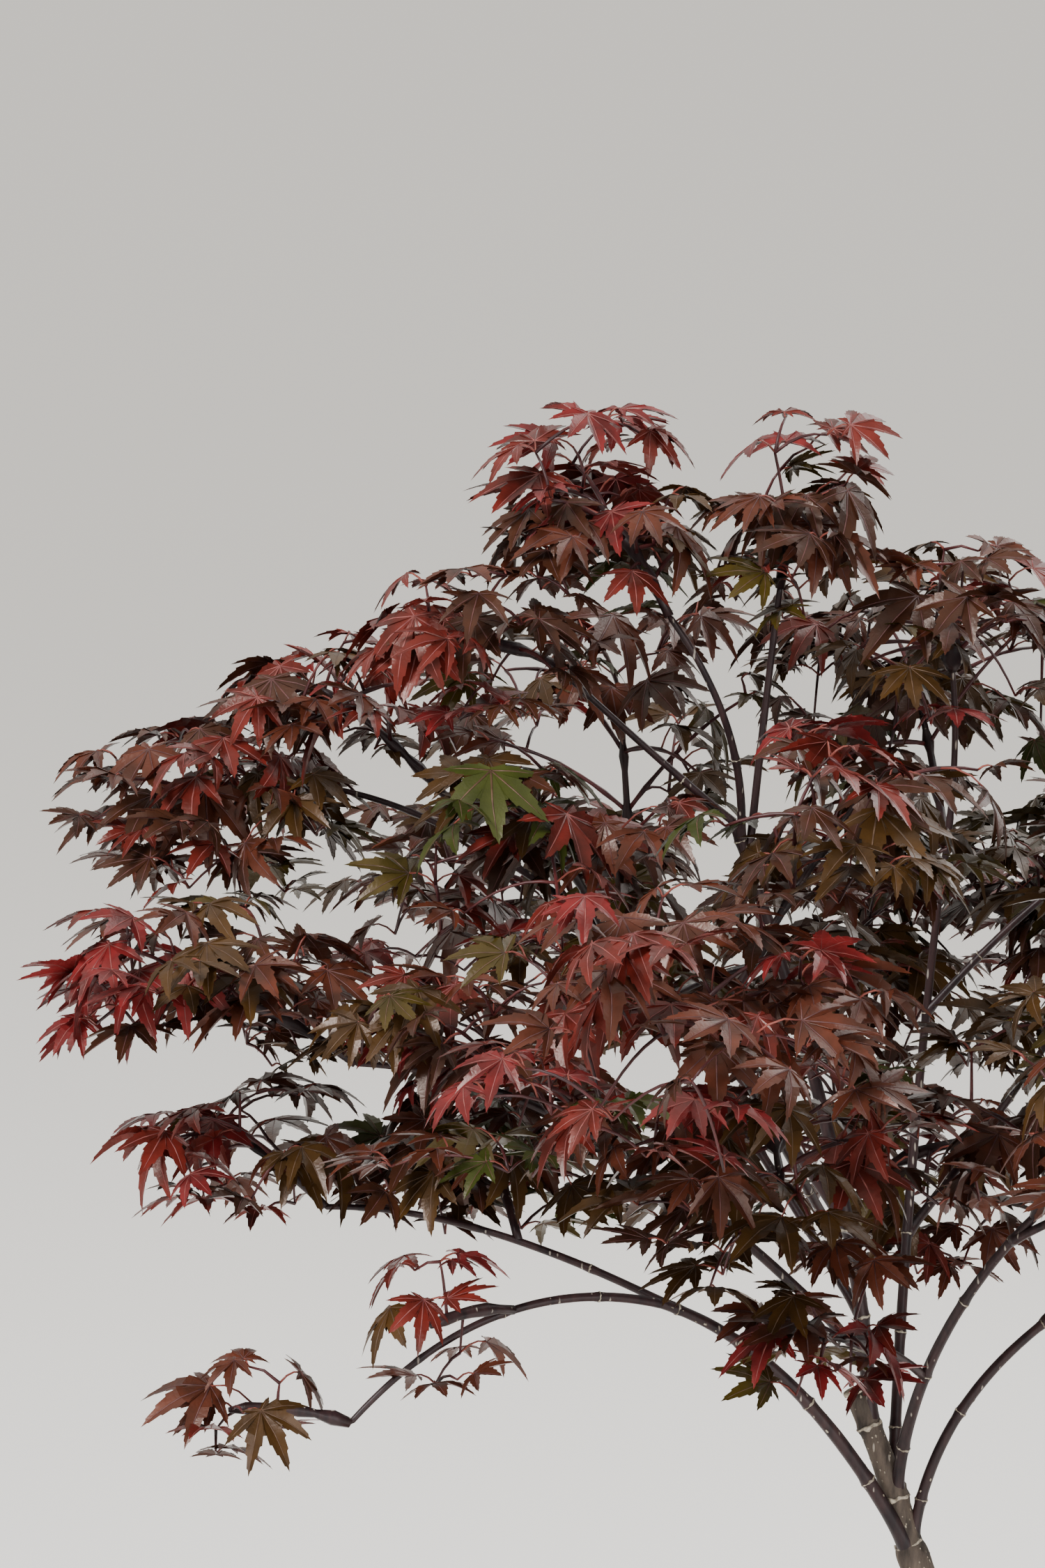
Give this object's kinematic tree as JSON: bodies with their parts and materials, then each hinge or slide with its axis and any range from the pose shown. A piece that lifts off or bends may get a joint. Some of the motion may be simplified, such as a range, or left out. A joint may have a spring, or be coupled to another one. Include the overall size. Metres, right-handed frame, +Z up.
{
  "type": "potted japanese maple",
  "caption": "Small patio tree with a leaning stem, forked boughs and flat tiers of deep purple-red, finely cut leaves, in a plain clay pot.",
  "frame": {"origin": "middle of the pot's flat underside", "axes": "+Z up; +X to the right and +Y to the back, as the plant is seen from the front"},
  "size_m": [0.8287, 0.7244, 1.192],
  "materials": {
    "clay": "plain fired clay, matte, with pale lime bloom near the foot",
    "soil": "dark moist potting mix with bark chips",
    "bark": "smooth grey-brown bark with pale pores, purple-brown on young wood",
    "tip_leaves": "satin leaf, crimson to wine",
    "inner_leaves": "satin leaf, dark purple to bronze"
  },
  "bodies": {
    "root": {"pot": "clay", "soil": "soil", "trunk": "bark", "leader_foot": "bark", "leader": "bark", "low_left_bough": "bark", "low_left_arm": "bark", "left_low_bough": "bark", "left_mid_bough": "bark", "upper_left_bough": "bark", "upper_left_arm": "bark", "top_left_bough": "bark", "top_centre_bough": "bark", "top_right_bough": "bark", "centre_stem": "bark", "right_stem": "bark", "back_stem": "bark", "right_top_bough": "bark", "right_high_bough": "bark", "right_mid_bough": "bark", "front_right_bough": "bark", "front_left_bough": "bark", "back_left_bough": "bark", "back_right_bough": "bark", "low_left_tip_leaves": "tip_leaves", "low_left_middle_leaves": "inner_leaves", "left_low_tip_leaves": "tip_leaves", "left_low_inner_leaves": "inner_leaves", "left_mid_tip_leaves": "tip_leaves", "left_mid_inner_leaves": "inner_leaves", "upper_left_tip_leaves": "tip_leaves", "upper_left_inner_leaves": "inner_leaves", "upper_left_rise_leaves": "inner_leaves", "top_left_outer_leaves": "inner_leaves", "top_left_tip_leaves": "tip_leaves", "top_centre_tip_leaves": "tip_leaves", "top_right_tip_leaves": "tip_leaves", "centre_low_leaves": "inner_leaves", "centre_inner_leaves": "inner_leaves", "front_left_tip_leaves": "tip_leaves", "front_left_inner_leaves": "inner_leaves", "front_high_leaves": "inner_leaves", "front_right_tip_leaves": "tip_leaves", "right_low_tip_leaves": "tip_leaves", "right_mid_tip_leaves": "tip_leaves", "right_mid_back_leaves": "inner_leaves", "right_high_tip_leaves": "tip_leaves", "right_high_front_leaves": "inner_leaves", "back_left_tip_leaves": "tip_leaves", "back_left_high_leaves": "inner_leaves", "back_low_leaves": "inner_leaves", "back_middle_leaves": "inner_leaves", "back_right_tip_leaves": "tip_leaves", "back_high_leaves": "inner_leaves"}
  },
  "joints": []
}
